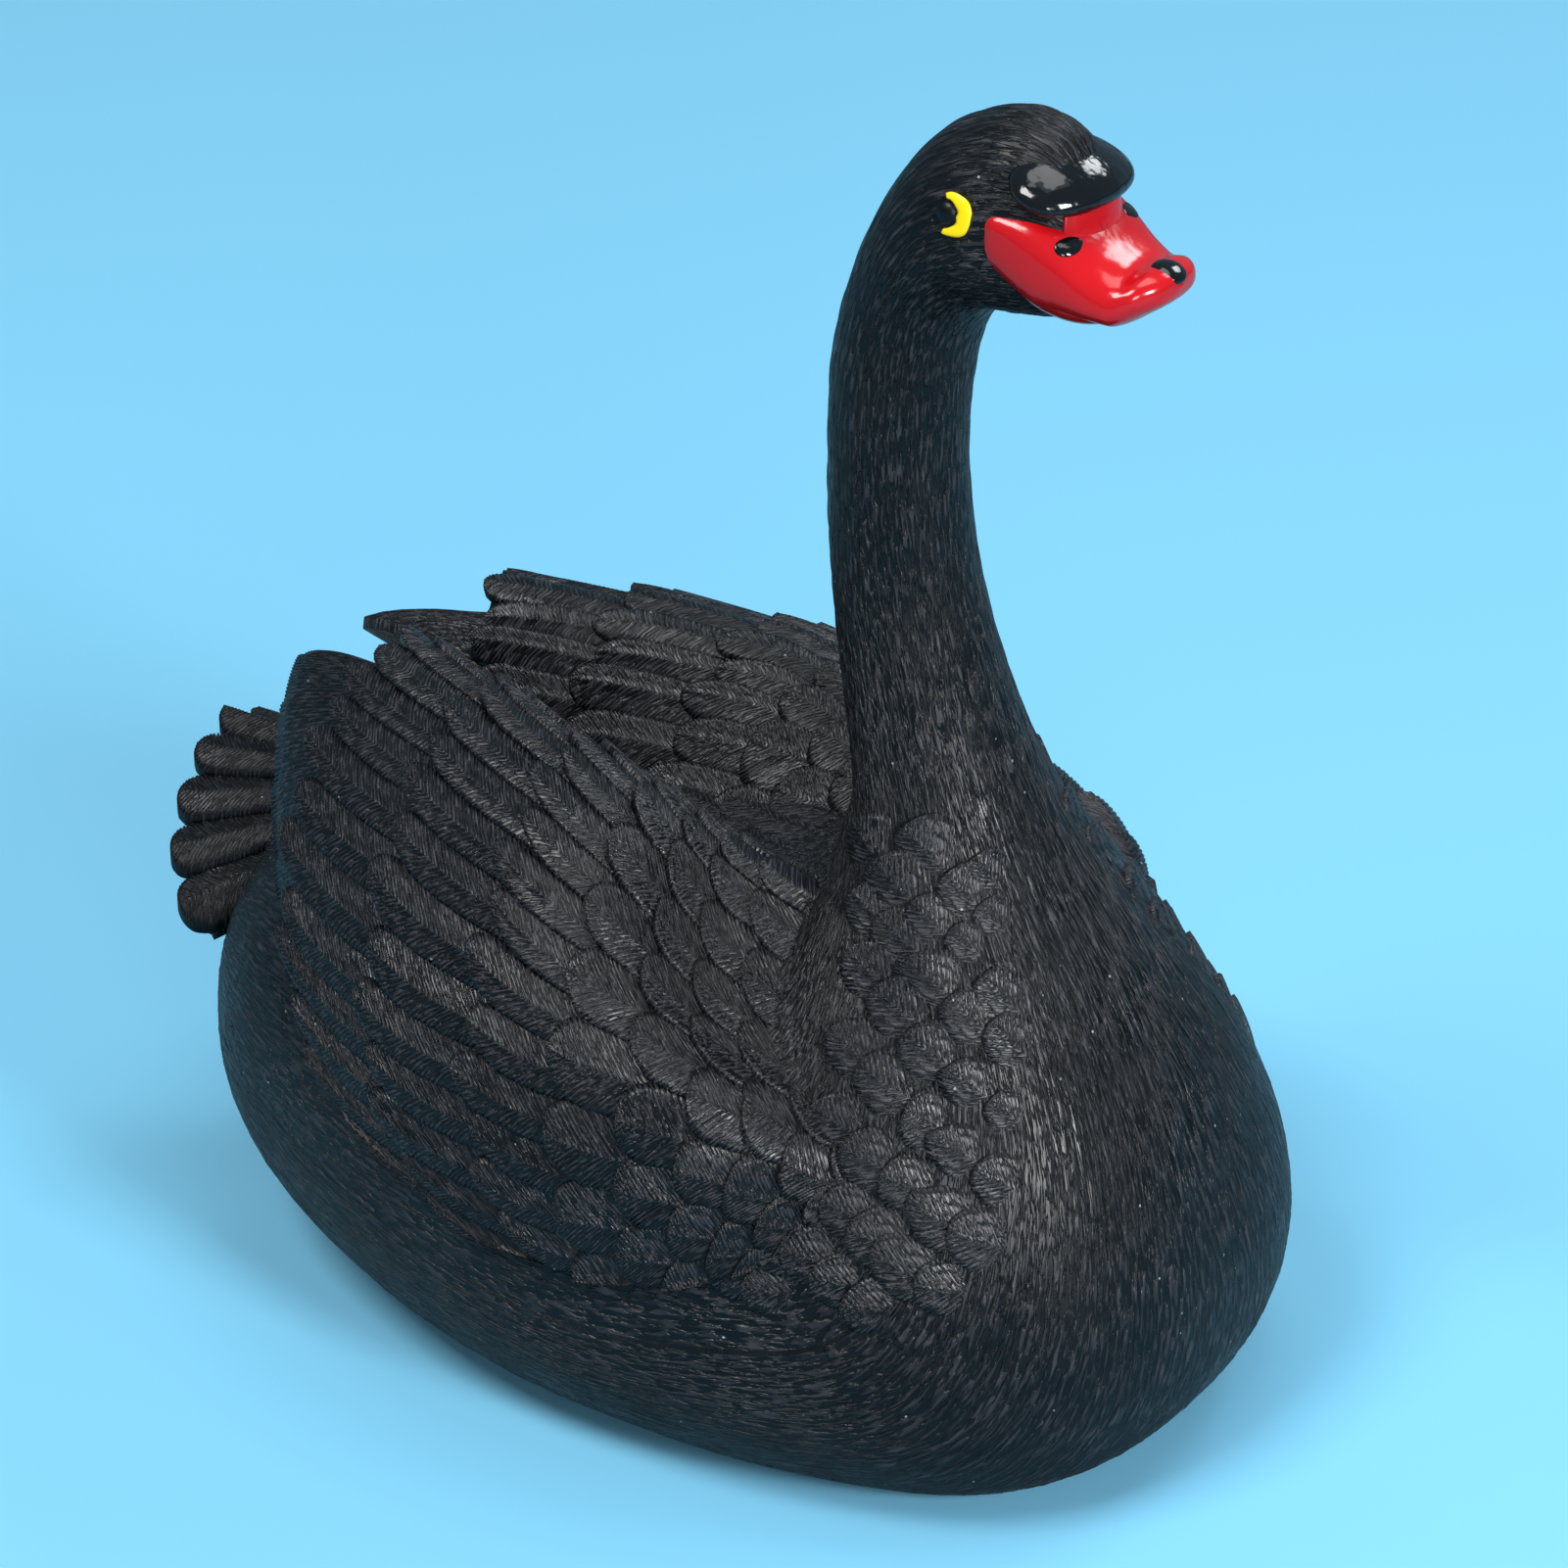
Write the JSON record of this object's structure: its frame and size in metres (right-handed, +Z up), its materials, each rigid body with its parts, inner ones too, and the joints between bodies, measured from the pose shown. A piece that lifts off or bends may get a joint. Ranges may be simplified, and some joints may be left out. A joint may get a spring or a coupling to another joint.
{
  "type": "swan figurine",
  "caption": "Garden swan figurine cast in one piece: S-curved neck, folded wings with overlapping feathers, fanned tail and a flat base to stand on.",
  "frame": {"origin": "centre of the bounding box seen from above, at the level of the flat base", "axes": "+X towards the bill and the breast, +Y to the swan's left, +Z up along the neck"},
  "size_m": [0.226, 0.154, 0.2438],
  "materials": {
    "satin_black_paint": "satin",
    "gloss_black_enamel": "gloss",
    "gloss_red_enamel": "gloss",
    "yellow_enamel": "semi-gloss"
  },
  "bodies": {
    "root": {"swan": "satin_black_paint"}
  },
  "joints": []
}
